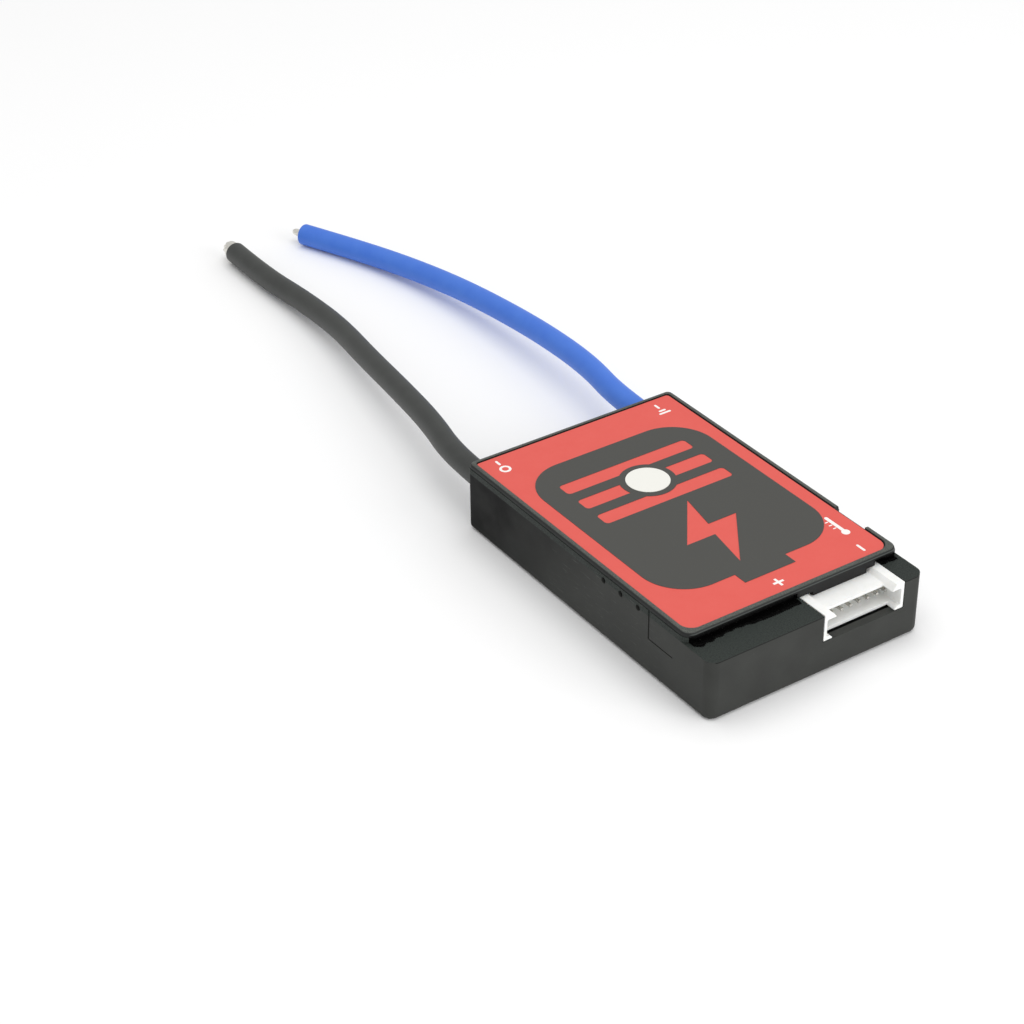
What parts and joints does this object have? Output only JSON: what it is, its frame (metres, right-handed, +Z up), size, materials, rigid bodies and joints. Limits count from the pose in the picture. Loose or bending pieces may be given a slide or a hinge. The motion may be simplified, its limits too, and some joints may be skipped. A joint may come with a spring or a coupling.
{
  "type": "battery management board",
  "caption": "Flat black moulded box that holds a battery management board, with a red label, a side-entry balance socket, a sensor socket and thick free power leads.",
  "frame": {"origin": "centre of the box's flat underside, leads not counted", "axes": "+Z up, +Y along the box towards the power leads, -Y towards the balance socket, +X towards the wall with the sensor socket"},
  "size_m": [0.0611, 0.2489, 0.0178],
  "materials": {
    "case_plastic": "fine satin moulded plastic",
    "cover_plastic": "fine satin moulded plastic",
    "label_film": "printed matt film",
    "label_ink": "dark printed ink",
    "sticker_film": "blank white film",
    "potting": "glossy black potting compound",
    "socket_nylon": "white nylon",
    "tinned_pins": "bright tin plate",
    "board_laminate": "green solder mask",
    "screw_steel": "zinc-plated steel",
    "transistor_resin": "black moulding resin",
    "bar_metal": "bare copper strip",
    "pad_silicone": "soft grey-blue silicone",
    "spreader_aluminium": "mill-finished sheet",
    "shunt_alloy": "resistance alloy strip",
    "chip_ceramic": "glazed chip resistor",
    "chip_resin": "black moulding resin",
    "can_aluminium": "drawn aluminium can",
    "ceramic_tan": "sintered ceramic",
    "black_silicone": "soft matt silicone",
    "blue_silicone": "soft matt silicone",
    "tinned_strands": "tinned copper strands",
    "solder": "bright solder"
  },
  "bodies": {
    "root": {"lower_case": "case_plastic", "top_cover": "cover_plastic", "top_label": "label_film", "label_print": "label_ink", "round_sticker": "sticker_film", "slot_seal": "potting", "balance_socket": "socket_nylon", "sensor_socket": "socket_nylon", "balance_pins": "tinned_pins", "sensor_pins": "tinned_pins", "circuit_board": "board_laminate", "board_screws": "screw_steel", "charge_transistors": "transistor_resin", "discharge_transistors": "transistor_resin", "drain_bar": "bar_metal", "source_bars": "bar_metal", "thermal_pad": "pad_silicone", "heat_spreader": "spreader_aluminium", "shunt_resistors": "shunt_alloy", "balance_resistors": "chip_ceramic", "balance_switches": "chip_resin", "monitor_chip": "chip_resin", "gate_driver": "chip_resin", "can_capacitors": "can_aluminium", "ceramic_capacitors": "ceramic_tan", "black_sleeve": "black_silicone", "black_lead": "black_silicone", "blue_sleeve": "blue_silicone", "blue_lead": "blue_silicone", "lead_conductors": "tinned_strands", "black_tip": "tinned_strands", "blue_tip": "tinned_strands", "lead_solder": "solder"}
  },
  "joints": []
}
